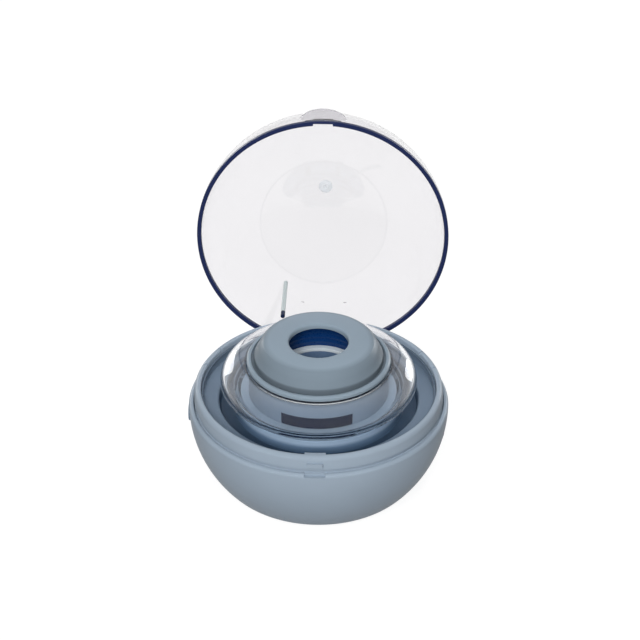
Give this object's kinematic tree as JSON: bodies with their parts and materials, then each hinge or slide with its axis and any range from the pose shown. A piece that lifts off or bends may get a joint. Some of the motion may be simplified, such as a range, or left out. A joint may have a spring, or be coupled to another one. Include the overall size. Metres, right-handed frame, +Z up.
{
  "type": "pacifier sterilizer case",
  "caption": "Ball-shaped portable case that cleans a pacifier with ultraviolet light: round base, clear dome with a lift-off cap, and a hinged clear lid.",
  "frame": {"origin": "centre of the round rubber pad, on the surface that the case stands on", "axes": "+Z up along the axis of the base, +Y back towards the hinge, the catch at -Y"},
  "size_m": [0.0904, 0.1401, 0.1149],
  "materials": {
    "pale_shell": "satin",
    "slate_tray": "satin",
    "soft_flap": "satin",
    "black_rubber": "matte",
    "screw_steel": "brushed",
    "cell_foil": "satin",
    "wire_cover": "gloss",
    "board_green": "gloss",
    "black_plastic": "matte",
    "dish_grey": "gloss",
    "clear_plastic": "clear",
    "navy_gloss": "gloss",
    "lamp_white": "gloss"
  },
  "bodies": {
    "case": {"base_shell": "pale_shell", "bottom_cover": "pale_shell", "grip_pad": "black_rubber", "cover_screws": "screw_steel", "case_screws": "screw_steel", "battery_pad": "black_rubber", "battery": "cell_foil", "battery_lead": "wire_cover", "main_board": "board_green", "board_chips": "black_plastic", "charging_socket": "screw_steel", "button_switch": "screw_steel", "switch_board": "board_green", "rim_ring": "pale_shell", "inner_tray": "slate_tray", "hinge_block": "pale_shell", "hinge_screws": "screw_steel", "hinge_pin": "screw_steel", "reflector_dish": "dish_grey", "clear_dome": "clear_plastic", "cap_sleeve": "pale_shell", "sleeve_window": "navy_gloss", "teat_well": "navy_gloss", "ledge_ring": "dish_grey", "well_disc": "clear_plastic", "led_board": "board_green", "uv_leds": "lamp_white", "led_screws": "screw_steel", "led_lead": "wire_cover", "lid_sensor": "black_plastic"},
    "lid": {"lid_shell": "clear_plastic", "lid_band": "navy_gloss", "lid_magnet": "black_plastic"},
    "button": {"power_button": "slate_tray", "switch_plunger": "black_plastic"},
    "flap": {"port_flap": "soft_flap"},
    "cap": {"holder_cap": "pale_shell", "cap_gasket": "black_rubber"}
  },
  "joints": [
    {"name": "lid_hinge", "type": "hinge", "parent": "case", "child": "lid", "pos_m": [0, 0.041, 0.0255], "axis": [-1, 0, 0], "range_deg": [-94, 0]},
    {"name": "button_press", "type": "slide", "parent": "case", "child": "button", "axis": [1, 0, 0], "range_m": [0, 0.0004], "stiffness_N_per_m": 1500, "springref_m": -0.0004},
    {"name": "flap_swing", "type": "hinge", "parent": "case", "child": "flap", "pos_m": [0.04375, 0.0062, 0.0182], "axis": [0, 0, 1], "range_deg": [0, 110]},
    {"name": "cap_lift", "type": "slide", "parent": "case", "child": "cap", "axis": [0, 0, 1], "range_m": [0, 0.04]}
  ]
}
